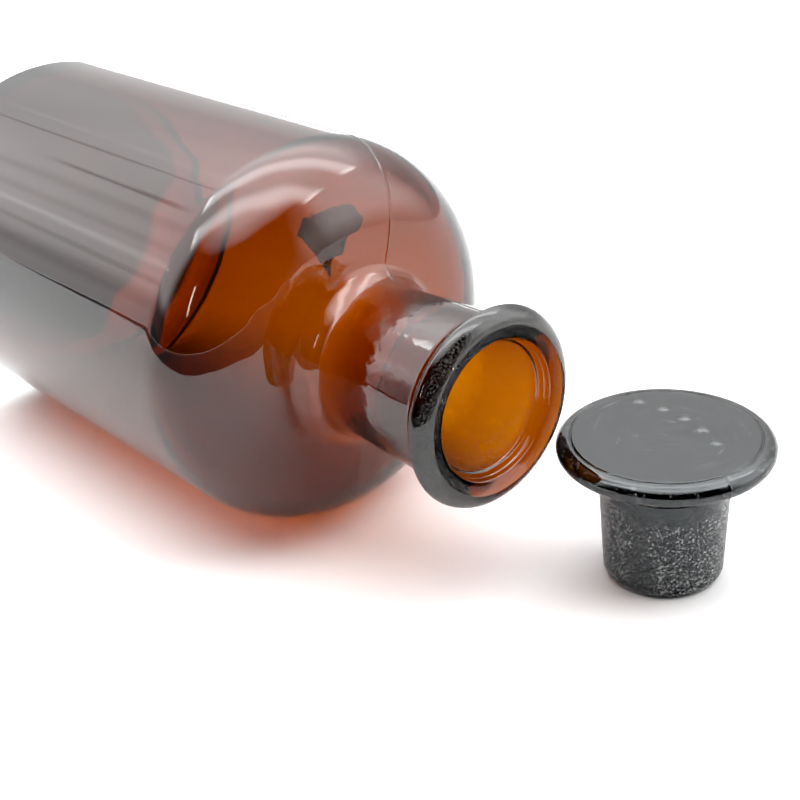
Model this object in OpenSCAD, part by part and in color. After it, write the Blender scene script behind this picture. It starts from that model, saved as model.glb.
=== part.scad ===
// Round narrow-mouth medicine bottle in amber glass, lying on its side,
// with its flat-headed ground stopper taken out and stood on the plug end
// beside the mouth. Millimetres. The bottle's axis runs along +X, from the
// base to the mouth; +Z is up; Z = 0 is the surface both pieces rest on.
// The origin is the middle of the whole group's footprint, on that surface.

/* [Bottle body] */
// Outside diameter of the body
body_diameter = 86; // [78:1:94]
// Length of the straight body, from the base to where the shoulder starts
body_length = 108; // [95:1:125]
// Glass thickness of the body wall
wall = 3.5; // [2.8:0.1:4]
// Glass thickness at the base ring
base_thickness = 5; // [4:0.1:6.5]
// Extra glass in the middle of the base
base_swell = 7.5; // [3:0.5:9]
// Radius of the inside corner between the wall and the base
inner_corner = 9; // [4:0.5:12]
// Radius of the heel, between the body and the base
heel_radius = 2.6; // [1.5:0.1:5]
// Width of the flat ring the bottle stands on
foot_ring_width = 5; // [3:0.5:8]
// How far the middle of the base is pushed up
push_up = 3; // [1.5:0.1:5]

/* [Shoulder and neck] */
// Length of the shoulder's curve along the bottle's axis
shoulder_length = 19; // [15:0.5:24]
// Fullness of the shoulder: 2 is an ellipse, more is squarer
shoulder_fullness = 2.1; // [1.8:0.05:2.8]
// Glass thickness where the shoulder meets the neck
shoulder_wall = 2.2; // [1.8:0.1:2.8]
// Outside diameter of the neck at its root
neck_diameter = 32.6; // [31.5:0.1:34]
// Outside diameter of the neck where it meets the lip
neck_top_diameter = 34.6; // [33.8:0.1:35.4]
// Radial size of the hollow curve between neck and shoulder
neck_fillet = 4.4; // [3:0.1:6]
// Length of that hollow curve along the neck
neck_fillet_length = 6.5; // [4:0.1:9]
// Height of the small step where the neck begins
neck_step = 0.1; // [0.05:0.05:0.3]
// How soon the neck widens: 1 is a straight taper, more is fuller
neck_fullness = 1.6; // [1:0.1:2]

/* [Lip and mouth] */
// Length of the bottle from its base to the crest of the lip
bottle_length = 166.5; // [161:0.1:174]
// Outside diameter of the lip
lip_diameter = 41.4; // [40.6:0.1:43]
// Thickness of the lip along the axis, at its root
lip_thickness = 7.4; // [6.9:0.1:8.8]
// How far the lip bulges forward of its widest line
lip_bulge = 2.9; // [2.4:0.1:3.2]
// Fullness of the bulge: 1 is a flat cone, 2 is a round
lip_fullness = 1.7; // [1.3:0.1:2]
// Diameter of the mouth's inner edge
mouth_diameter = 28.9; // [28.4:0.1:29.6]
// Depth of the ground taper below the lip's crest
ground_depth = 18; // [15:0.5:22]
// Diameter of the plain bore below the ground taper
bore_diameter = 25.4; // [25:0.1:26.4]

/* [Stopper] */
// Overall height of the stopper
stopper_height = 31.7; // [29:0.1:36]
// Diameter of the stopper's flat head
head_diameter = 43.9; // [42:0.1:46]
// Thickness of the head
head_thickness = 4.45; // [4:0.05:5.5]
// Diameter of the fine line that edges the flat top of the head
head_line_diameter = 37.9; // [34:0.1:39]
// Diameter of the plug at the lower end
plug_diameter = 24.5; // [24:0.1:25]
// Taper of the ground plug and neck: diameter per unit of length
ground_taper = 0.1; // [0.08:0.005:0.11]
// Radius of the plug's lower corner
plug_corner = 2.3; // [1:0.1:3]
// Height of the plain polished band between plug and head
plain_band = 4.6; // [3:0.1:6]
// Number of raised pips on the head
pip_count = 5; // [3:1:7]
// Diameter of each raised pip
pip_diameter = 2.8; // [2:0.1:3.2]

/* [Layout] */
// Distance of the stopper's axis from the bottle's base, along the bottle
stopper_x = 182.7; // [182.7:0.1:230]
// Sideways distance of the stopper's axis from the bottle's axis
stopper_y = 29.7; // [29.7:0.1:60]

/* [Hidden] */
$fn = 96;

R = body_diameter / 2;
neck_r = neck_diameter / 2;
neck_top_r = neck_top_diameter / 2;
lip_r = lip_diameter / 2;
head_r = head_diameter / 2;
shoulder_end = body_length + shoulder_length;

// footprint of the whole group, which sets the origin
x_end = stopper_x + head_r;
y_low = -R;
y_high = max(R, stopper_y + head_r);
origin_x = x_end / 2;
origin_y = (y_low + y_high) / 2;

function slope() = ground_taper / 2;

// part of an ellipse, as points from angle a0 to a1
function arc(cx, cy, rx, ry, a0, a1, n) =
    [for (i = [0:n]) let (a = a0 + (a1 - a0) * i / n)
        [cx + rx * cos(a), cy + ry * sin(a)]];

// a quarter bulge, fuller or flatter than an ellipse
function bulge(cx, cy, rx, ry, p, a0, a1, n) =
    [for (i = [0:n]) let (a = a0 + (a1 - a0) * i / n)
        [cx + rx * pow(abs(cos(a)), 2 / p), cy + ry * pow(abs(sin(a)), 2 / p)]];

// shoulder curve from the body (t = 0) to the neck (t = 1)
function shoulder_pt(r_out, r_in, z0, len, t) =
    let (a = 90 * (1 - t), k = 2 / shoulder_fullness)
    [r_in + (r_out - r_in) * pow(sin(a), k), z0 + len * pow(cos(a), k)];
function shoulder(r_out, r_in, z0, len, n) =
    [for (i = [0:n]) shoulder_pt(r_out, r_in, z0, len, i / n)];

// lip: a bead with a full front, a crest line, and a slope inward to the mouth
lip_edge = 0.55;
lip_widest = bottle_length - lip_bulge;
lip_back = bottle_length - lip_thickness;
crest_r = lip_r - 3.4;
mouth_r = mouth_diameter / 2;

// plug radius at a height above the plug's lower end
function plug_r(z) = plug_diameter / 2 + slope() * z;
plug_top = stopper_height - head_thickness;
// with the stopper home, the head's underside stands this far off the crest
home_gap = 2.2;
// neck taper radius at a depth below the crest, matching the plug
function seat_r(d) = plug_r(plug_top - home_gap - d) + 0.02;
ground_start = 3.2;

module bottle_profile() {
    wall_r = R - wall;
    inner_end = shoulder_end - shoulder_wall;
    bore_r = bore_diameter / 2;
    polygon(concat(
        // base: pushed-up middle, standing ring, heel
        [[0, push_up]],
        [for (i = [1:6]) let (t = i / 6, rr = (R - heel_radius - foot_ring_width) * t)
            [rr, push_up * pow(cos(90 * pow(t, 1.6)), 1)]],
        arc(R - heel_radius, heel_radius, heel_radius, heel_radius, -90, 0, 5),
        // body side and shoulder
        shoulder(R, neck_r + neck_fillet, body_length, shoulder_length, 18),
        // hollow curve into the neck
        arc(neck_r + neck_fillet, shoulder_end + neck_fillet_length,
            neck_fillet, neck_fillet_length, 255, 180, 6),
        // small step, then neck to lip, with a tight hollow corner
        [[neck_r + 0.02, shoulder_end + neck_fillet_length + 2.4],
         [neck_r + neck_step * 0.55, shoulder_end + neck_fillet_length + 2.8],
         [neck_r + neck_step, shoulder_end + neck_fillet_length + 3.3]],
        [for (i = [1:8]) let (t = i / 8, z0 = shoulder_end + neck_fillet_length + 3.3)
            [neck_r + neck_step + (neck_top_r - 0.05 - neck_r - neck_step) * (1 - pow(1 - t, neck_fullness)),
             z0 + (lip_back - 0.5 - z0) * t]],
        arc(neck_top_r + 0.75, lip_back - 0.1, 0.75, 0.75, 180, 136, 2),
        // back of the lip, full front, crest
        arc(lip_r - lip_edge, lip_widest, lip_edge, lip_edge, -44, -8, 3),
        bulge(crest_r, lip_widest, lip_r - crest_r, lip_bulge, lip_fullness, 0, 84, 10),
        arc(crest_r + 0.1, bottle_length - 0.75, 0.75, 0.75, 84, 103, 2),
        // slope inside the crest, mouth edge, ground taper
        arc(mouth_r + 0.5, bottle_length - 1.15, 0.5, 0.5, 103, 165, 4),
        [[mouth_r - 0.22, bottle_length - 1.75], [mouth_r - 0.35, bottle_length - 1.9],
         [seat_r(ground_start) + 0.3, bottle_length - ground_start + 0.2],
         [seat_r(ground_start), bottle_length - ground_start],
         [seat_r(ground_depth), bottle_length - ground_depth],
         [bore_r, bottle_length - ground_depth - 1]],
        // bore, inner shoulder, inner body
        arc(bore_r + 7, inner_end + 15, 7, 15, 180, 261, 8),
        [for (i = [14:-1:0])
            shoulder_pt(wall_r, bore_r + 7, body_length, inner_end - body_length, i / 14)],
        arc(wall_r - inner_corner, base_thickness + inner_corner, inner_corner, inner_corner, 0, -84, 8),
        // the base's inside, thickest in the middle
        [for (i = [9:-1:0]) let (t = i / 10)
            [(wall_r - inner_corner) * t, base_thickness + base_swell * (0.5 + 0.5 * cos(180 * t))]]
    ));
}

// one moulded piece of glass: base, body, shoulder, neck and lip
module bottle() {
    color([0.36, 0.16, 0.05, 0.6])
    translate([-origin_x, -origin_y, R]) rotate([0, 90, 0])
        rotate_extrude() bottle_profile();
}

module stopper_profile() {
    line_r = head_line_diameter / 2;
    side_z = plug_top + head_thickness * 0.5;
    polygon(concat(
        // hollow in the lower end, corner, ground taper
        [[0, 0.5], [4, 0.42], [7, 0.2], [plug_r(0) - plug_corner - 1, 0]],
        arc(plug_r(0) - plug_corner + 0.1, plug_corner, plug_corner, plug_corner, -90, 0, 5),
        [[plug_r(plug_top - plain_band), plug_top - plain_band],
         [plug_r(plug_top - plain_band) - 0.25, plug_top - plain_band + 0.4],
         [plug_r(plug_top - plain_band) - 0.25, plug_top - 0.9]],
        // small hollow curve under the head
        arc(plug_r(plug_top - plain_band) + 0.65, plug_top - 0.9, 0.9, 0.9, 160, 100, 2),
        // rolled edge of the head
        arc(head_r - 2.4, side_z, 2.4, side_z - plug_top, -90, 0, 6),
        arc(line_r + 0.3, side_z, head_r - line_r - 0.3, stopper_height - side_z, 12, 84, 6),
        // fine line, then the flat top
        [[line_r + 0.25, stopper_height - 0.03], [line_r, stopper_height - 0.25],
         [line_r - 0.25, stopper_height - 0.03], [0, stopper_height - 0.03]]
    ));
}

// raised pips in a bowed row on the flat top
module pips() {
    rise = 0.35;
    ball = (pow(pip_diameter / 2, 2) + rise * rise) / (2 * rise);
    intersection() {
        translate([-head_r, -head_r, stopper_height - 0.4]) cube([2 * head_r, 2 * head_r, 2]);
        for (i = [0:pip_count - 1]) {
            u = pip_count > 1 ? (i / (pip_count - 1) - 0.5) * 2 : 0;
            rotate([0, 0, -9]) translate([-3 + 11.5 * u, 5.6 + 2.2 * (1 - u * u), stopper_height - 0.03 + rise - ball])
                sphere(ball);
        }
    }
}

// one pressed piece of solid glass: flat head and ground taper plug
module stopper() {
    color([0.2, 0.1, 0.05, 0.8])
    translate([stopper_x - origin_x, stopper_y - origin_y, 0]) {
        rotate_extrude() stopper_profile();
        pips();
    }
}

bottle();
stopper();
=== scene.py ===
import math
import bpy
import numpy as np
from mathutils import Matrix, Vector


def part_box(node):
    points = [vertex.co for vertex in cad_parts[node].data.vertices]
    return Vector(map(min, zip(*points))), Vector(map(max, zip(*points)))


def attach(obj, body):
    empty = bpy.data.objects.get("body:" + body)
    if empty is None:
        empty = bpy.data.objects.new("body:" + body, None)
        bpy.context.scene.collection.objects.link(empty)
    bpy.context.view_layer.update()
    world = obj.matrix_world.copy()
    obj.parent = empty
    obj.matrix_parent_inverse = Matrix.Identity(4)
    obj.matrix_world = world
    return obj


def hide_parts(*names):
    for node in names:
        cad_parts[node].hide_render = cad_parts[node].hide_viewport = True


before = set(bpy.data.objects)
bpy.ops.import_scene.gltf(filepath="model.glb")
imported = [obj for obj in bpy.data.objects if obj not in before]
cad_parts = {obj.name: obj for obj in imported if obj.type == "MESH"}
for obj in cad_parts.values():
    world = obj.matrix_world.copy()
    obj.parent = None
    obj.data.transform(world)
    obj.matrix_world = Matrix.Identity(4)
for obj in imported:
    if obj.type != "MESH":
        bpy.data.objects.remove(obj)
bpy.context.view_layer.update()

scene = bpy.context.scene

# ---------------------------------------------------------------- sizes, millimetres
R = 43.0
BODY_LEN, SH_LEN, SH_FULL = 108.0, 19.0, 2.1
WALL, SH_WALL = 3.5, 2.2
BASE_T, SWELL, HEEL, FOOT, PUSH, IN_R = 5.0, 7.5, 2.6, 5.0, 3.0, 5.0
NECK_R, NECK_TOP_R = 16.3, 17.3
FIL_R, FIL_L, STEP, NECK_FULL = 4.4, 6.5, 0.1, 1.6
B_LEN, LIP_R, LIP_T, LIP_W = 166.5, 20.7, 7.4, 2.9
LIP_P, CREST_R, MOUTH_R, GRIND_D, GRIND_0, BORE_R = 1.7, 17.3, 14.45, 18.0, 3.2, 12.7
ST_H, HEAD_R, HEAD_T, LINE_R = 31.7, 21.95, 4.45, 18.95
PLUG_R, TAPER, PLUG_C, PLAIN = 12.25, 0.05, 2.3, 4.6
HOME_GAP = 2.2
ST_X, ST_Y = 182.7, 29.7
SH_END = BODY_LEN + SH_LEN
PLUG_TOP = ST_H - HEAD_T

lo_b, hi_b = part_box("bottle")
lo_s, hi_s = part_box("stopper")
# the bottle's base centre and the stopper's foot, in the row frame
AX = Vector((lo_b.x, (lo_b.y + hi_b.y) / 2, lo_b.z + R / 1000))
ST = Vector(((lo_s.x + hi_s.x) / 2, (lo_s.y + hi_s.y) / 2, lo_s.z))


def arc(cx, cy, rx, ry, a0, a1, n):
    a = np.radians(np.linspace(a0, a1, n + 1))
    return np.stack([cx + rx * np.cos(a), cy + ry * np.sin(a)], 1)


def superarc(cx, cy, rx, ry, p, a0, a1, n):
    a = np.radians(np.linspace(a0, a1, n + 1))
    k = 2 / p
    return np.stack([cx + rx * np.abs(np.cos(a)) ** k, cy + ry * np.abs(np.sin(a)) ** k], 1)


def shoulder(ro, ri, z0, length, n, rev=False):
    a = np.radians(90 * (1 - np.linspace(0, 1, n + 1)))
    k = 2 / SH_FULL
    p = np.stack([ri + (ro - ri) * np.sin(a) ** k, z0 + length * np.abs(np.cos(a)) ** k], 1)
    return p[::-1] if rev else p


def plug_r(z):
    return PLUG_R + TAPER * z


def seat_r(d):
    return plug_r(PLUG_TOP - HOME_GAP - d) + 0.02


def dense(parts, steps):
    """Joins the runs of a profile, and puts points along each no further apart than its step."""
    out = [parts[0][0]]
    for run, step in zip(parts, steps):
        for p in run:
            q = out[-1]
            d = math.hypot(p[0] - q[0], p[1] - q[1])
            if d < 1e-6:
                continue
            n = max(1, math.ceil(d / step))
            for i in range(1, n + 1):
                t = i / n
                out.append((q[0] + (p[0] - q[0]) * t, q[1] + (p[1] - q[1]) * t))
    return np.array(out)


def bottle_profile():
    wall_r = R - WALL
    inner_end = SH_END - SH_WALL
    back = B_LEN - LIP_T
    wide = B_LEN - LIP_W
    t = np.linspace(0, 1, 25)
    base = np.stack([(R - HEEL - FOOT) * t, PUSH * np.cos(np.radians(90 * t ** 1.6))], 1)
    t = np.linspace(0.97, 0, 30)
    inner = np.stack([(wall_r - IN_R) * t, BASE_T + SWELL * (0.5 + 0.5 * np.cos(math.pi * t))], 1)
    nz = SH_END + FIL_L
    t = np.linspace(0, 1, 33)[1:]
    neck = np.stack([NECK_R + STEP + (NECK_TOP_R - 0.05 - NECK_R - STEP) * (1 - (1 - t) ** NECK_FULL), nz + 3.3 + (back - 0.5 - nz - 3.3) * t], 1)
    runs = [
        (base, 1.5),
        (arc(R - HEEL, HEEL, HEEL, HEEL, -90, 0, 14), 0.6),
        (shoulder(R, NECK_R + FIL_R, BODY_LEN, SH_LEN, 90), 1.0),
        (arc(NECK_R + FIL_R, SH_END + FIL_L, FIL_R, FIL_L, 255, 180, 24), 0.5),
        ([(NECK_R + 0.02, nz + 2.4), (NECK_R + 0.08, nz + 2.6), (NECK_R + STEP * 0.55, nz + 2.85), (NECK_R + STEP * 0.92, nz + 3.1),
          (NECK_R + STEP, nz + 3.3)], 0.3),
        (neck, 0.35),
        (arc(NECK_TOP_R + 0.75, back - 0.1, 0.75, 0.75, 180, 136, 7), 0.15),
        (arc(LIP_R - 0.55, wide, 0.55, 0.55, -44, 0, 10), 0.3),
        (superarc(CREST_R, wide, LIP_R - CREST_R, LIP_W, LIP_P, 0, 84, 40), 0.2),
        (arc(CREST_R + 0.1, B_LEN - 0.75, 0.75, 0.75, 84, 103, 8), 0.2),
        (arc(MOUTH_R + 0.5, B_LEN - 1.15, 0.5, 0.5, 103, 165, 12), 0.2),
        ([(MOUTH_R - 0.22, B_LEN - 1.75), (MOUTH_R - 0.35, B_LEN - 1.9)], 0.12),
        ([(seat_r(GRIND_0) + 0.3, B_LEN - GRIND_0 + 0.2), (seat_r(GRIND_0), B_LEN - GRIND_0)], 0.15),
        ([(seat_r(GRIND_D), B_LEN - GRIND_D)], 0.45),
        ([(BORE_R, B_LEN - GRIND_D - 1)], 0.2),
        (arc(BORE_R + 7.0, inner_end + 15, 7.0, 15, 180, 261, 36), 0.5),
        (shoulder(wall_r, BORE_R + 7.0, BODY_LEN, inner_end - BODY_LEN, 70, True), 0.6),
        (arc(wall_r - IN_R, BASE_T + IN_R, IN_R, IN_R, 0, -84, 24), 1.2),
        (inner, 1.5),
    ]
    return dense([r for r, _ in runs], [s for _, s in runs])


def stopper_profile():
    side = PLUG_TOP + HEAD_T * 0.5
    pr = plug_r(0)
    band = plug_r(PLUG_TOP - PLAIN)
    runs = [
        ([(0, 0.5), (4, 0.42), (7, 0.2), (pr - PLUG_C - 1, 0)], 0.5),
        (arc(pr - PLUG_C + 0.1, PLUG_C, PLUG_C, PLUG_C, -90, 0, 14), 0.3),
        ([(band, PLUG_TOP - PLAIN)], 0.3),
        ([(band - 0.25, PLUG_TOP - PLAIN + 0.4)], 0.12),
        ([(band - 0.25, PLUG_TOP - 0.9)], 0.3),
        (arc(band + 0.65, PLUG_TOP - 0.9, 0.9, 0.9, 160, 100, 8), 0.2),
        (arc(HEAD_R - 2.4, side, 2.4, side - PLUG_TOP, -90, 0, 18), 0.3),
        (arc(LINE_R + 0.3, side, HEAD_R - LINE_R - 0.3, ST_H - side, 12, 84, 18), 0.25),
        ([(LINE_R + 0.25, ST_H - 0.03)], 0.12),
        (arc(LINE_R, ST_H - 0.03, 0.25, 0.22, 0, -180, 10), 0.1),
        ([(0, ST_H - 0.03)], 0.22),
    ]
    return dense([r for r, _ in runs], [s for _, s in runs])


def lathe(name, prof, thetas, place, bump=None):
    """A closed turned solid. bump(theta, r, h, nr, nh) moves each point along its own normal, millimetres."""
    n, m = len(prof), len(thetas)
    tan = np.zeros_like(prof)
    tan[1:-1] = prof[2:] - prof[:-2]
    tan[0], tan[-1] = prof[1] - prof[0], prof[-1] - prof[-2]
    tan /= np.linalg.norm(tan, axis=1)[:, None]
    nr, nh = tan[:, 1], -tan[:, 0]
    T, r = np.meshgrid(thetas, prof[:, 0])
    h = np.repeat(prof[:, 1][:, None], m, 1)
    NR, NH = np.repeat(nr[:, None], m, 1), np.repeat(nh[:, None], m, 1)
    d = bump(T, r, h, NR, NH, np.arange(n)[:, None] + 0 * T) if bump else 0 * r
    r2, h2 = r + NR * d, h + NH * d
    co = place(r2, h2, T)
    ring = np.arange(1, n - 1)[:, None] * m + np.arange(m)
    verts = [co[0].mean(0)[None], co[1:-1].reshape(-1, 3), co[-1].mean(0)[None]]
    verts = np.concatenate(verts)
    idx = ring - m + 1
    a, b = idx[:-1], idx[1:]
    quads = np.stack([a, np.roll(a, -1, 1), np.roll(b, -1, 1), b], 2).reshape(-1, 4)
    last = len(verts) - 1
    f, e = idx[0], idx[-1]
    tris = np.concatenate([
        np.stack([np.zeros(m, int), np.roll(f, -1), f], 1),
        np.stack([np.full(m, last), e, np.roll(e, -1)], 1)])
    v0 = verts[quads]
    vol = (v0[:, 0] * np.cross(v0[:, 1], v0[:, 2])).sum() + (v0[:, 0] * np.cross(v0[:, 2], v0[:, 3])).sum()
    if vol < 0:
        quads, tris = quads[:, ::-1], tris[:, ::-1]
    mesh = bpy.data.meshes.new(name)
    mesh.from_pydata(verts.tolist(), [], [tuple(q) for q in quads.tolist()] + [tuple(t) for t in tris.tolist()])
    mesh.shade_smooth()
    mesh.update()
    obj = bpy.data.objects.new(name, mesh)
    scene.collection.objects.link(obj)
    return obj


def waves(seed, terms, T, h, amp, n_lo, n_hi, m_hi):
    """Smooth unevenness round and along a turned piece: a fixed sum of waves."""
    g = np.random.RandomState(seed)
    out = np.zeros_like(T)
    for _ in range(terms):
        n = g.randint(n_lo, n_hi + 1)
        m = g.uniform(-m_hi, m_hi)
        out += g.uniform(0.4, 1.0) * np.sin(n * T + m * h + g.uniform(0, 6.283))
    return out * amp / math.sqrt(terms)


def smooth(x, a, b):
    t = np.clip((x - a) / (b - a), 0, 1)
    return t * t * (3 - 2 * t)


SEAMS = [math.radians(20), math.radians(190)]


def bottle_bump(T, r, h, nr, nh, i):
    outer = i < N_OUTER
    d = np.zeros_like(T)
    body = smooth(h, 2, 12) * (1 - smooth(h, 128, 136))
    # outer skin: long shallow ripples along the axis, and a slow unevenness
    d += outer * body * (waves(3, 14, T, h, 0.022, 9, 30, 0.015) + waves(5, 8, T, h, 0.035, 2, 6, 0.05))
    d += outer * smooth(h, 128, 134) * (1 - smooth(h, 157, 160)) * waves(7, 8, T, h, 0.02, 2, 9, 0.35)
    d += outer * smooth(h, 137, 141) * (1 - smooth(h, 156, 159)) * (waves(8, 26, T, h, 0.017, 9, 30, 1.5) + waves(10, 14, T, h, 0.009, 30, 60, 3.0))
    # lip: slightly uneven front and edge
    d += outer * smooth(h, 159, 160) * waves(9, 7, T, h, 0.025, 2, 7, 0.3)
    # mould seams up the body and over the shoulder
    for s in SEAMS:
        a = (T - s + math.pi) % (2 * math.pi) - math.pi
        d += outer * smooth(h, 3, 8) * (1 - smooth(h, 156, 158)) * 0.11 * np.exp(-(a * np.maximum(r, 8) / 0.28) ** 2)
    # inner skin: the glass is thicker in places
    inner = (~outer) & (h < B_LEN - GRIND_D - 1.2)
    d += inner * smooth(h, BASE_T + 1, 14) * (waves(11, 12, T, h, 0.08, 1, 7, 0.10) + waves(13, 8, T, h, 0.008, 6, 16, 0.05))
    d += (~outer) * (h > B_LEN - GRIND_D) * smooth(B_LEN - h, 1.5, 4) * waves(15, 8, T, h, 0.02, 3, 9, 0.4)
    return d


def angles(n, seams, width, extra):
    a = list(np.linspace(0, 2 * math.pi, n, endpoint=False))
    for s in seams:
        a += list((s + np.linspace(-width, width, extra)) % (2 * math.pi))
    a = np.unique(np.round(np.array(a), 5))
    keep = [a[0]]
    for x in a[1:]:
        if x - keep[-1] > 0.0012:
            keep.append(x)
    return np.array(keep)


prof_b = bottle_profile()
N_OUTER = int(np.argmax(prof_b[:, 1])) + 1
bottle = lathe(
    "bottle_glass", prof_b, angles(540, SEAMS, 0.02, 15),
    lambda r, h, T: np.stack([AX.x + h / 1000, AX.y + r * np.sin(T) / 1000, AX.z + r * np.cos(T) / 1000], 2),
    bottle_bump)

PIPS = []
for k in range(5):
    u = (k / 4 - 0.5) * 2
    c, s = math.cos(math.radians(-9)), math.sin(math.radians(-9))
    px, py = -3 + 11.5 * u, 5.6 + 2.2 * (1 - u * u)
    PIPS.append((px * c - py * s, px * s + py * c))


def stopper_bump(T, r, h, nr, nh, i):
    d = np.zeros_like(T)
    top = (h > ST_H - 0.3) & (r < LINE_R - 0.4)
    d += np.where(top, waves(21, 10, T, r, 0.02, 0, 4, 0.35) * (1 - smooth(r, 15, 18.5)), 0)
    x, y = r * np.cos(T), r * np.sin(T)
    ball = (1.4 ** 2 + 0.35 ** 2) / 0.7
    for px, py in PIPS:
        q = (x - px) ** 2 + (y - py) ** 2
        z = np.sqrt(np.maximum(ball ** 2 - q, 0)) - (ball - 0.35)
        z = np.where(q < 1.9 ** 2, np.log1p(np.exp(np.clip(z / 0.03, -40, 40))) * 0.03, 0)
        d += np.where(top, z, 0)
    # parting line on the rim
    side = smooth(h, PLUG_TOP - 0.2, PLUG_TOP + 0.4) * smooth(r, LINE_R + 0.4, LINE_R + 1.2)
    a = (T - math.radians(-17) + math.pi) % (2 * math.pi) - math.pi
    d += side * 0.07 * np.exp(-(a * r / 0.22) ** 2)
    d += side * waves(23, 6, T, h, 0.015, 2, 8, 0.3)
    # the polished band under the head and the ground plug are not quite true
    plug = (h < PLUG_TOP - 0.5) & (r < 15)
    d += np.where(plug, smooth(h, 2.4, 4) * waves(25, 6, T, h, 0.008, 2, 6, 0.2), 0)
    return d


stopper = lathe(
    "stopper_glass", stopper_profile(), angles(420, [math.radians(-17)], 0.03, 13),
    lambda r, h, T: np.stack([ST.x + r * np.cos(T) / 1000, ST.y + r * np.sin(T) / 1000, ST.z + h / 1000], 2),
    stopper_bump)


# ---------------------------------------------------------------- node helpers
class Net:
    def __init__(self, tree):
        self.t = tree
        self.t.nodes.clear()

    def node(self, kind, **settings):
        n = self.t.nodes.new(kind)
        for k, v in settings.items():
            setattr(n, k, v)
        return n

    def put(self, sock, v):
        if isinstance(v, bpy.types.NodeSocket):
            self.t.links.new(v, sock)
        else:
            sock.default_value = v

    def m(self, op, a, b=0.0, c=0.0, clamp=False):
        n = self.node("ShaderNodeMath", operation=op, use_clamp=clamp)
        self.put(n.inputs[0], a)
        self.put(n.inputs[1], b)
        if len(n.inputs) > 2:
            self.put(n.inputs[2], c)
        return n.outputs[0]

    def ss(self, x, a, b, lo=0.0, hi=1.0, kind="SMOOTHSTEP"):
        n = self.node("ShaderNodeMapRange", interpolation_type=kind)
        self.put(n.inputs["Value"], x)
        for k, v in zip(("From Min", "From Max", "To Min", "To Max"), (a, b, lo, hi)):
            self.put(n.inputs[k], v)
        return n.outputs["Result"]

    def curve(self, x, x0, x1, pts, top=8.0):
        """A value that runs through the points (x, y), flat beyond its ends."""
        n = self.node("ShaderNodeValToRGB")
        self.put(n.inputs["Fac"], self.ss(x, x0, x1, kind="LINEAR"))
        e = n.color_ramp.elements
        while len(e) > 1:
            e.remove(e[-1])
        for i, (px, py) in enumerate(pts):
            s = e[0] if i == 0 else e.new((px - x0) / (x1 - x0))
            s.position = (px - x0) / (x1 - x0)
            g = py / top
            s.color = (g, g, g, 1)
        return self.m("MULTIPLY", n.outputs["Color"], top)

    def mix(self, f, a, b):
        n = self.node("ShaderNodeMix", data_type="FLOAT")
        self.put(n.inputs["Factor"], f)
        self.put(n.inputs["A"], a)
        self.put(n.inputs["B"], b)
        return n.outputs["Result"]

    def mixc(self, f, a, b):
        n = self.node("ShaderNodeMix", data_type="RGBA")
        self.put(n.inputs[0], f)
        self.put(n.inputs[6], a)
        self.put(n.inputs[7], b)
        return n.outputs[2]

    def noise(self, vec, scale, detail=2.0, rough=0.5, dist=0.0):
        n = self.node("ShaderNodeTexNoise")
        self.put(n.inputs["Vector"], vec)
        self.put(n.inputs["Scale"], scale)
        self.put(n.inputs["Detail"], detail)
        self.put(n.inputs["Roughness"], rough)
        self.put(n.inputs["Distortion"], dist)
        return n.outputs["Fac"]


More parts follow.
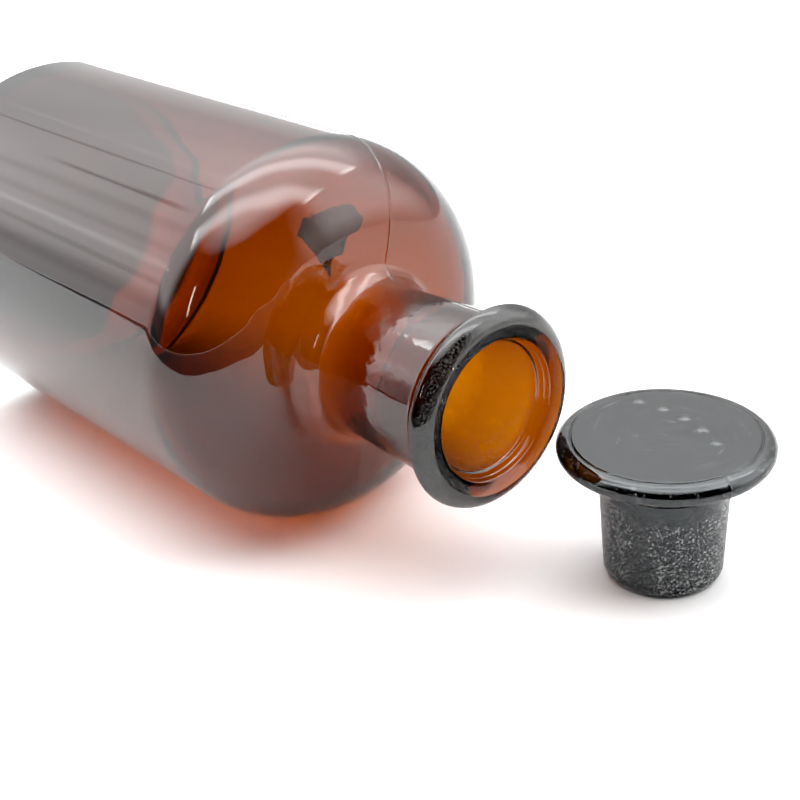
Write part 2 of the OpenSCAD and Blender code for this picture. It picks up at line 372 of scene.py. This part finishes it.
# ---------------------------------------------------------------- the light tent
def tent():
    world = bpy.data.worlds.new("tent")
    scene.world = world
    world.use_nodes = True
    k = Net(world.node_tree)
    tc = k.node("ShaderNodeTexCoord")
    sp = k.node("ShaderNodeSeparateXYZ")
    k.put(sp.inputs[0], tc.outputs["Generated"])
    x, y, z = sp.outputs
    c, s = math.cos(math.radians(40)), math.sin(math.radians(40))
    u = k.m("ADD", k.m("MULTIPLY", x, c), k.m("MULTIPLY", y, s))
    v = k.m("SUBTRACT", k.m("MULTIPLY", y, c), k.m("MULTIPLY", x, s))
    az = k.m("MULTIPLY", k.m("ARCTAN2", u, k.m("MULTIPLY", v, -1.0)), 57.29578)
    el = k.m("MULTIPLY", k.m("ARCSINE", z), 57.29578)
    aaz = k.m("ABSOLUTE", az)
    left = k.curve(el, -10, 90, [(-10, 1.6), (2, 1.7), (9, 2.6), (18, 3.3), (32, 3.3), (60, 3.6), (72, 5.2), (80, 5.6)])
    right = k.curve(el, -10, 90, [(-10, 1.2), (2, 1.9), (9, 3.2), (15, 4.3), (36, 4.6), (46, 4.4), (56, 4.6), (66, 5.2), (80, 5.6)])
    side = k.mix(k.ss(az, -20, 20), left, right)
    back = k.curve(el, -10, 90, [(-10, 1.0), (18, 1.3), (28, 2.0), (35, 3.1), (43, 5.2), (80, 5.6)])
    wall = k.mix(k.ss(aaz, 112, 138), side, back)
    front = k.curve(el, -10, 90, [(-10, 0.0), (50, 0.0), (54, 1.6), (60, 3.0), (66, 4.8), (72, 5.6), (80, 5.6)])
    edge = k.mix(k.ss(az, -10, 10), k.m("MULTIPLY", k.ss(aaz, 58, 76), k.ss(el, 11, 19, 0.12, 1.0)), k.ss(aaz, 60, 86))
    edge = k.m("MAXIMUM", edge, k.ss(aaz, 78, 96))
    L = k.mix(edge, front, wall)
    phi = k.m("MULTIPLY", k.m("ARCTAN2", y, z), 57.29578)
    folds = 1.0
    for at, w, amount, x0, x1 in ((0.8, 1.3, -0.34, -1.0, -0.78), (-17.6, 2.2, -0.45, -0.87, -0.80), (-77.0, 9.0, -0.34, -1.0, -0.7), (-54.0, 4.0, 0.26, -1.0, -0.7),
                                  (-30.0, 5.0, -0.16, -1.0, -0.7), (-43.0, 5.0, -0.14, -1.0, -0.7), (-65.0, 2.2, -0.22, -1.0, -0.7), (12.0, 3.0, 0.10, -1.0, -0.7)):
        here = k.m("MULTIPLY", k.ss(x, x0, x0 + 0.02), k.ss(x, x1 - 0.02, x1, 1.0, 0.0))
        fold = k.m("MULTIPLY", k.ss(k.m("ABSOLUTE", k.m("SUBTRACT", phi, at)), 0.0, w, amount, 0.0), here)
        folds = k.m("ADD", fold, folds)
    L = k.m("MULTIPLY", L, folds)
    gap = k.m("MULTIPLY", k.ss(k.m("ABSOLUTE", k.m("ADD", az, 31.0)), 0.4, 1.5, 1.0, 0.0), k.m("MULTIPLY", k.ss(el, 18, 20), k.ss(el, 31, 33, 1.0, 0.0)))
    L = k.m("ADD", L, k.m("MULTIPLY", gap, 14.0))
    open_light = k.mix(edge, k.curve(el, -10, 90, [(-10, 1.5), (45, 2.2), (66, 4.8), (80, 5.6)]), wall)
    # two light strips under the tent's roof
    zz = k.m("MAXIMUM", z, 0.05)
    pu, pv = k.m("DIVIDE", u, zz), k.m("DIVIDE", v, zz)
    up = k.ss(z, 0.1, 0.2)
    strips = None
    for off, tilt, bend, half, w, gain in ((-0.14, 0.0, 0.0, 0.98, 0.15, 5.2), (0.45, 0.07, 0.08, 0.95, 0.15, 4.4)):
        line = k.m("ABSOLUTE", k.m("SUBTRACT", pv, k.m("MULTIPLY_ADD", pu, k.m("MULTIPLY_ADD", pu, bend, tilt), off)))
        across = k.ss(line, w * 0.2, w * 1.5, 1.0, 0.0)
        along = k.ss(k.m("ABSOLUTE", pu), half * 0.97, half * 1.03, 1.0, 0.0)
        ends = k.ss(k.m("ABSOLUTE", pu), half * 0.85, half * 0.95, gain, gain + 5)
        b = k.m("MULTIPLY", k.m("MULTIPLY", across, along), ends)
        strips = b if strips is None else k.m("ADD", strips, b)
    strips = k.m("MULTIPLY", strips, up)
    L = k.m("ADD", L, strips)
    open_light = k.m("ADD", open_light, strips)
    lp = k.node("ShaderNodeLightPath")
    L = k.mix(lp.outputs["Is Transmission Ray"], L, open_light)
    # light that reaches the floor through the glass
    glow = k.m("MULTIPLY", lp.outputs["Is Transmission Ray"], k.m("GREATER_THAN", lp.outputs["Diffuse Depth"], 0.5))
    L = k.mix(lp.outputs["Is Camera Ray"], L, 1.15)
    bg = k.node("ShaderNodeBackground")
    cmb = k.node("ShaderNodeCombineColor")
    for i, gain in enumerate((2.4, 2.9, 1.2)):
        k.put(cmb.inputs[i], k.m("MULTIPLY", L, k.mix(glow, 1.0, gain)))
    k.put(bg.inputs["Color"], cmb.outputs[0])
    bg.inputs["Strength"].default_value = 1.0
    out = k.node("ShaderNodeOutputWorld")
    k.put(out.inputs["Surface"], bg.outputs[0])
    world.cycles.sampling_method = "MANUAL"
    world.cycles.sample_map_resolution = 1024


tent()


def plane(name, pts, mat):
    mesh = bpy.data.meshes.new(name)
    mesh.from_pydata(pts, [], [(0, 1, 2, 3)])
    obj = bpy.data.objects.new(name, mesh)
    scene.collection.objects.link(obj)
    mesh.materials.append(mat)
    return obj


def floor_material():
    mat = bpy.data.materials.new("tent_floor")
    mat.use_nodes = True
    k = Net(mat.node_tree)
    tc = k.node("ShaderNodeTexCoord")
    n = k.noise(tc.outputs["Object"], 60.0, 3.0)
    p = k.node("ShaderNodeBsdfPrincipled")
    k.put(p.inputs["Base Color"], k.mixc(n, (0.56, 0.56, 0.56, 1), (0.59, 0.589, 0.587, 1)))
    p.inputs["Roughness"].default_value = 0.9
    p.inputs["Specular IOR Level"].default_value = 0.1
    out = k.node("ShaderNodeOutputMaterial")
    k.put(out.inputs["Surface"], p.outputs[0])
    return mat


floor = plane("floor", [(-12, -12, 0), (12, -12, 0), (12, 12, 0), (-12, 12, 0)], floor_material())

# black material: the dark room beyond the floor in reflections, and painted shade for the card behind the bottle
black = bpy.data.materials.new("room_dark_and_painted_shade")
black.use_nodes = True
black.node_tree.nodes["Principled BSDF"].inputs["Base Color"].default_value = (0.004, 0.004, 0.004, 1)
black.node_tree.nodes["Principled BSDF"].inputs["Roughness"].default_value = 1.0
edge = [(-1.2, -0.9), (-0.30, -0.50), (-0.05, -0.41), (0.20, -0.235), (0.25, -0.10), (0.225, 0.0), (0.27, 0.08)]
far = [(6 * math.cos(math.radians(a)), 6 * math.sin(math.radians(a))) for a in (-150, -128, -105, -80, -50, -20, 14)]
mesh = bpy.data.meshes.new("room_floor")
mesh.from_pydata([(x, y, 0.001) for x, y in edge + far], [], [(i, i + 1, i + 8, i + 7) for i in range(6)])
card = bpy.data.objects.new("room_floor", mesh)
scene.collection.objects.link(card)
mesh.materials.append(black)
card.visible_camera = card.visible_diffuse = card.visible_transmission = card.visible_shadow = card.visible_volume_scatter = False


def only_through_glass(obj):
    obj.visible_camera = obj.visible_diffuse = obj.visible_glossy = obj.visible_shadow = obj.visible_volume_scatter = False


def base_shade_material():
    """Black disc with a soft rim, close behind the bottle's base."""
    mat = bpy.data.materials.new("base_shade")
    mat.use_nodes = True
    k = Net(mat.node_tree)
    tc = k.node("ShaderNodeTexCoord")
    sp = k.node("ShaderNodeSeparateXYZ")
    k.put(sp.inputs[0], tc.outputs["Object"])
    y, z = k.m("SUBTRACT", sp.outputs[1], AX.y), k.m("SUBTRACT", sp.outputs[2], AX.z)
    rad = k.m("SQRT", k.m("ADD", k.m("MULTIPLY", y, y), k.m("MULTIPLY", z, z)))
    e = k.node("ShaderNodeBsdfDiffuse")
    e.inputs["Color"].default_value = (0.004, 0.004, 0.004, 1)
    tr = k.node("ShaderNodeBsdfTransparent")
    mx = k.node("ShaderNodeMixShader")
    # the disc keeps clear of the side the shoulder looks through
    side = k.m("MULTIPLY", k.m("ARCTAN2", y, k.m("MULTIPLY", z, -1.0)), 57.29578)
    open_side = k.m("MULTIPLY", k.ss(side, 5.0, 25.0), k.ss(side, 75.0, 95.0, 1.0, 0.0))
    k.put(mx.inputs[0], k.ss(k.m("ADD", rad, k.m("MULTIPLY", open_side, 0.0100)), 0.0375, 0.0420, 1.0, 0.0))
    k.put(mx.inputs[1], tr.outputs[0])
    k.put(mx.inputs[2], e.outputs[0])
    out = k.node("ShaderNodeOutputMaterial")
    k.put(out.inputs["Surface"], mx.outputs[0])
    return mat


def shade_material():
    """Black where the floor behind the bottle falls into shade, clear elsewhere, with a soft edge."""
    mat = bpy.data.materials.new("far_shade")
    mat.use_nodes = True
    k = Net(mat.node_tree)
    tc = k.node("ShaderNodeTexCoord")
    sp = k.node("ShaderNodeSeparateXYZ")
    k.put(sp.inputs[0], tc.outputs["Object"])
    x, y, z = sp.outputs
    line = k.curve(x, -0.62, -0.10, [(-0.62, 0.160), (-0.317, 0.124), (-0.246, 0.096), (-0.200, 0.060), (-0.172, 0.018), (-0.150, 0.0)], 0.2)
    a = k.m("MULTIPLY", k.ss(k.m("SUBTRACT", y, line), -0.010, 0.010, 1.0, 0.0), k.ss(x, -0.160, -0.140, 1.0, 0.0))
    e = k.node("ShaderNodeBsdfDiffuse")
    e.inputs["Color"].default_value = (0.004, 0.004, 0.004, 1)
    tr = k.node("ShaderNodeBsdfTransparent")
    mx = k.node("ShaderNodeMixShader")
    k.put(mx.inputs[0], a)
    k.put(mx.inputs[1], tr.outputs[0])
    k.put(mx.inputs[2], e.outputs[0])
    out = k.node("ShaderNodeOutputMaterial")
    k.put(out.inputs["Surface"], mx.outputs[0])
    return mat


shade = plane("far_shade", [(-2.0, -1.0, 0.001), (-0.1, -1.0, 0.001), (-0.1, 0.3, 0.001), (-2.0, 0.3, 0.001)], shade_material())
only_through_glass(shade)
behind = plane("base_shade", [(AX.x - 0.004, -0.06, 0.0015), (AX.x - 0.004, 0.06, 0.0015), (AX.x - 0.004, 0.06, 0.09), (AX.x - 0.004, -0.06, 0.09)], base_shade_material())
only_through_glass(behind)
# painted shade: a black card on the floor behind the bottle, seen only through the glass, puts a dark patch into the
# shoulder
mesh = bpy.data.meshes.new("far_shade_card")
mesh.from_pydata([(x / 1000, y / 1000, 0.002) for x, y in ((-96, 76), (-149, 101), (-174, 127), (-183, 162), (-153, 144))], [], [(4, 3, 2, 1, 0)])
mesh.materials.append(black)
far_shade_card = bpy.data.objects.new("far_shade_card", mesh)
scene.collection.objects.link(far_shade_card)
only_through_glass(far_shade_card)


# ---------------------------------------------------------------- glass
def glass(name, absorb, density, finish, tint=(1, 1, 1, 1)):
    mat = bpy.data.materials.new(name)
    mat.use_nodes = True
    k = Net(mat.node_tree)
    tc = k.node("ShaderNodeTexCoord")
    sp = k.node("ShaderNodeSeparateXYZ")
    k.put(sp.inputs[0], tc.outputs["Object"])
    p = k.node("ShaderNodeBsdfPrincipled")
    p.inputs["Base Color"].default_value = (1, 1, 1, 1)
    p.inputs["Transmission Weight"].default_value = 1.0
    p.inputs["IOR"].default_value = 1.52
    p.inputs["Roughness"].default_value = 0.0
    finish(k, tc.outputs["Object"], sp.outputs, p)
    p.inputs["Specular Tint"].default_value = tint
    va = k.node("ShaderNodeVolumeAbsorption")
    va.inputs["Color"].default_value = absorb
    va.inputs["Density"].default_value = density
    out = k.node("ShaderNodeOutputMaterial")
    k.put(out.inputs["Surface"], p.outputs[0])
    k.put(out.inputs["Volume"], va.outputs[0])
    return mat


def specks(k, vec, scale, big, keep):
    """Sparse round specks of dust: 1 on a speck, 0 elsewhere."""
    v = k.node("ShaderNodeTexVoronoi")
    k.put(v.inputs["Vector"], vec)
    v.inputs["Scale"].default_value = scale
    pick = k.node("ShaderNodeSeparateColor")
    k.put(pick.inputs[0], v.outputs["Color"])
    size = k.m("MULTIPLY", pick.outputs[1], big)
    on = k.m("GREATER_THAN", pick.outputs[0], 1 - keep)
    d = k.m("DIVIDE", v.outputs["Distance"], k.m("ADD", size, 0.004))
    return k.m("MULTIPLY", on, k.ss(d, 0.6, 1.0, 1.0, 0.0))


def polar(k, a, b, c):
    n = k.node("ShaderNodeCombineXYZ")
    for i, v in enumerate((a, b, c)):
        k.put(n.inputs[i], v)
    return n.outputs[0]


def dust_and_bump(k, p, dust, rough, height, dist):
    k.put(p.inputs["Roughness"], k.m("MAXIMUM", rough, k.m("MULTIPLY", dust, 0.6)))
    b = k.node("ShaderNodeBump")
    b.inputs["Strength"].default_value = 1.0
    b.inputs["Distance"].default_value = dist
    k.put(b.inputs["Height"], height)
    k.put(p.inputs["Normal"], b.outputs[0])


def bottle_finish(k, vec, xyz, p):
    x, y, z = xyz
    yy, zz = k.m("SUBTRACT", y, AX.y), k.m("SUBTRACT", z, AX.z)
    rad = k.m("SQRT", k.m("ADD", k.m("MULTIPLY", yy, yy), k.m("MULTIPLY", zz, zz)))
    ang = k.m("ARCTAN2", yy, zz)
    depth = k.m("SUBTRACT", AX.x + B_LEN / 1000, x)
    # ground taper inside the neck: a ragged lower edge, streaks and missed patches
    rag = k.m("MULTIPLY", k.m("SUBTRACT", k.noise(vec, 150.0, 5.0, 0.65), 0.5), 0.009)
    inside = k.ss(rad, 0.0147, 0.0149, 1.0, 0.0)
    far = k.ss(k.m("ADD", depth, rag), GRIND_D / 1000 - 0.0007, GRIND_D / 1000 - 0.0002, 1.0, 0.0)
    near = k.ss(depth, 0.0030, 0.0038)
    zone = k.m("MULTIPLY", k.m("MULTIPLY", inside, far), near)
    grain = k.noise(vec, 2200.0, 2.0)
    streak = k.noise(polar(k, k.m("MULTIPLY", depth, 900.0), k.m("MULTIPLY", ang, 2.0), rad), 1.0, 3.0)
    patch = k.noise(vec, 170.0, 4.0, 0.6)
    missed = k.ss(patch, 0.60, 0.64)
    matt = k.m("MULTIPLY", k.m("MULTIPLY_ADD", grain, 0.14, k.m("MULTIPLY_ADD", streak, 0.16, 0.16)), k.m("SUBTRACT", 1.0, k.m("MULTIPLY", missed, 0.7)))
    # crest of the lip: lightly rubbed and pitted
    worn = k.m("MULTIPLY", k.m("MULTIPLY", k.ss(depth, 0.0022, 0.0008), k.ss(rad, 0.0152, 0.0158)), k.ss(k.noise(vec, 2600.0, 2.0, 0.6), 0.50, 0.62))
    dust = k.m("MULTIPLY", specks(k, vec, 260.0, 0.045, 0.42), k.ss(rad, 0.015, 0.016))
    rough = k.m("MAXIMUM", k.m("MULTIPLY", zone, matt), k.m("MULTIPLY", worn, 0.12))
    # long drawn streaks in the outer skin of the body
    drawn = k.noise(polar(k, k.m("MULTIPLY", k.m("COSINE", ang), 9.0), k.m("MULTIPLY", k.m("SINE", ang), 9.0), k.m("MULTIPLY", x, 8.0)), 1.0, 2.0, 0.55)
    drawn = k.m("MULTIPLY", drawn, k.m("MULTIPLY", k.ss(rad, 0.0405, 0.0415), k.ss(depth, 0.052, 0.066)))
    chalk = k.m("MULTIPLY", zone, k.m("MULTIPLY", k.ss(k.noise(vec, 1300.0, 2.0, 0.7), 0.45, 0.7), k.m("SUBTRACT", 1.0, missed)))
    # the plain bore below it was never trued
    bore = k.m("MULTIPLY", k.ss(rad, 0.0145, 0.0150, 1.0, 0.0), k.ss(depth, 0.018, 0.020))
    lumps = k.m("MULTIPLY", k.noise(vec, 230.0, 3.0, 0.55), k.m("MULTIPLY", bore, 5.0))
    k.put(p.inputs["Base Color"], k.mixc(k.m("MAXIMUM", k.m("MAXIMUM", dust, chalk), worn), (1, 1, 1, 1), (0.72, 0.68, 0.60, 1)))
    faint = k.m("MAXIMUM", k.m("MULTIPLY", chalk, 0.05), k.m("MULTIPLY", worn, 0.06))
    k.put(p.inputs["Transmission Weight"], k.m("SUBTRACT", 1.0, k.m("MAXIMUM", k.m("MULTIPLY", dust, 0.75), faint)))
    height = k.m("ADD", k.m("MULTIPLY", zone, k.m("ADD", grain, k.m("MULTIPLY", patch, 4.0))), k.m("ADD", k.m("ADD", k.m("MULTIPLY", worn, 0.12), lumps), k.m("MULTIPLY", drawn, 0.9)))
    dust_and_bump(k, p, dust, rough, height, 0.00005)


def stopper_finish(k, vec, xyz, p):
    x, y, z = xyz
    xx, yy = k.m("SUBTRACT", x, ST.x), k.m("SUBTRACT", y, ST.y)
    rad = k.m("SQRT", k.m("ADD", k.m("MULTIPLY", xx, xx), k.m("MULTIPLY", yy, yy)))
    ang = k.m("ARCTAN2", yy, xx)
    # ground plug: arched upper edge, fine pits, rubbed upright streaks
    wave = k.noise(polar(k, k.m("MULTIPLY", xx, 75.0), k.m("MULTIPLY", yy, 75.0), 0.35), 1.0, 1.0)
    rag = k.m("ADD", k.m("MULTIPLY", k.m("SUBTRACT", wave, 0.5), 0.012), k.m("MULTIPLY", k.m("SUBTRACT", k.noise(vec, 420.0, 3.0, 0.6), 0.5), 0.0022))
    line = (PLUG_TOP - PLAIN - 2.6) / 1000
    top = k.ss(k.m("ADD", z, rag), line - 0.0007, line + 0.0005, 1.0, 0.0)
    low = k.ss(z, 0.0008, 0.0016)
    zone = k.m("MULTIPLY", k.m("MULTIPLY", top, low), k.ss(rad, 0.0150, 0.0152, 1.0, 0.0))
    rub = k.noise(polar(k, k.m("MULTIPLY", xx, 160.0), k.m("MULTIPLY", yy, 160.0), k.m("MULTIPLY", z, 26.0)), 1.0, 3.0, 0.6)
    rubbed = k.ss(rub, 0.72, 0.82)
    # one upright band rubbed smooth, wider toward the foot
    off = k.m("ABSOLUTE", k.m("ADD", k.m("ADD", ang, math.radians(74)), k.m("MULTIPLY", k.m("SUBTRACT", k.noise(vec, 260.0, 3.0), 0.5), 0.25)))
    wide = k.m("MULTIPLY_ADD", k.m("SUBTRACT", 0.022, z), 7.0, 0.03)
    rubbed = k.m("MAXIMUM", rubbed, k.ss(k.m("SUBTRACT", off, wide), 0.0, 0.07, 1.0, 0.0))
    grain = k.noise(vec, 2400.0, 3.0, 0.65)
    pits = k.m("MAXIMUM", specks(k, vec, 2600.0, 0.7, 0.55), k.m("MULTIPLY", specks(k, vec, 1500.0, 0.4, 0.3), 0.9))
    matt = k.m("MULTIPLY", k.m("MULTIPLY_ADD", grain, 0.22, 0.30), k.m("SUBTRACT", 1.0, k.m("MULTIPLY", rubbed, 0.45)))
    # top of the head: turned scratches, smudges; rim: small chips of wear
    head = k.ss(z, (ST_H - 0.6) / 1000, (ST_H - 0.4) / 1000)
    rings = k.noise(polar(k, k.m("MULTIPLY", rad, 1500.0), k.m("MULTIPLY", ang, 1.6), 0.0), 1.0, 4.0, 0.7)
    scratch = k.ss(rings, 0.56, 0.72)
    smudge = k.noise(vec, 110.0, 4.0, 0.6)
    skin = k.m("MULTIPLY", head, k.m("ADD", k.m("MULTIPLY", k.ss(smudge, 0.35, 0.75), 0.16), k.m("MULTIPLY", scratch, 0.10)))
    rim = k.m("MULTIPLY", k.ss(rad, 0.0186, 0.0198), k.ss(k.noise(vec, 1000.0, 3.0, 0.7), 0.58, 0.70))
    dust = k.m("MULTIPLY", specks(k, vec, 300.0, 0.05, 0.5), k.m("SUBTRACT", 1.0, zone))
    rough = k.m("MAXIMUM", k.m("MULTIPLY", zone, matt), k.m("MAXIMUM", skin, k.m("MULTIPLY", rim, 0.3)))
    chalk = k.m("MULTIPLY", zone, k.m("MULTIPLY", pits, k.m("SUBTRACT", 1.0, k.m("MULTIPLY", rubbed, 0.8))))
    marks = k.m("MULTIPLY", k.m("MULTIPLY", head, scratch), k.ss(k.noise(vec, 95.0, 2.0), 0.34, 0.60))
    rubs = k.m("MAXIMUM", k.m("MULTIPLY", marks, 0.07), k.m("MULTIPLY", rim, 0.16))
    k.put(p.inputs["Base Color"], k.mixc(k.m("MAXIMUM", k.m("MAXIMUM", dust, chalk), k.m("MULTIPLY", rubs, 6.0)), (1, 1, 1, 1), (0.55, 0.56, 0.56, 1)))
    k.put(p.inputs["Transmission Weight"], k.m("SUBTRACT", 1.0, k.m("MAXIMUM", k.m("MAXIMUM", k.m("MULTIPLY", dust, 0.6), rubs), k.m("MULTIPLY", chalk, 0.62))))
    height = k.m("ADD", k.m("MULTIPLY", zone, grain), k.m("MULTIPLY", head, k.m("MULTIPLY", k.m("ADD", rings, k.m("MULTIPLY", smudge, 1.2)), 0.09)))
    dust_and_bump(k, p, dust, rough, height, 0.00012)


D = 1800.0
amber = (1 - 295 / D, 1 - 575 / D, 1 - 1700 / D, 1)
bottle.data.materials.append(glass("amber_glass", amber, D, bottle_finish))
DS = 3000.0
dark_amber = (1 - 1300 / DS, 1 - 1700 / DS, 1 - 2900 / DS, 1)
stopper.data.materials.append(glass("amber_glass_solid", dark_amber, DS, stopper_finish, (0.84, 0.90, 0.93, 1)))

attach(bottle, "bottle")
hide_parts("bottle")
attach(stopper, "stopper")
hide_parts("stopper")

# ---------------------------------------------------------------- camera
yaw, pitch, roll = -0.8842, 0.4788, -0.0764
fw = Vector((math.sin(yaw) * math.cos(pitch), math.cos(yaw) * math.cos(pitch), -math.sin(pitch)))
rt = Vector((math.cos(yaw), -math.sin(yaw), 0))
up = rt.cross(fw)
r2 = rt * math.cos(roll) + up * math.sin(roll)
u2 = rt * -math.sin(roll) + up * math.cos(roll)
cam = bpy.data.objects.new("camera", bpy.data.cameras.new("camera"))
scene.collection.objects.link(cam)
cam.matrix_world = Matrix(((r2.x, u2.x, -fw.x, 0.237687), (r2.y, u2.y, -fw.y, -0.171085), (r2.z, u2.z, -fw.z, 0.171792), (0, 0, 0, 1)))
cam.data.sensor_width = 36.0
cam.data.lens = 63.93
cam.data.clip_start = 0.01
cam.data.clip_end = 100
scene.camera = cam

scene.view_settings.view_transform = "Standard"
scene.view_settings.look = "None"
scene.cycles.max_bounces = 16
scene.cycles.transmission_bounces = 14
scene.cycles.glossy_bounces = 6
scene.cycles.blur_glossy = 0.3
scene.cycles.denoising_input_passes = "RGB"
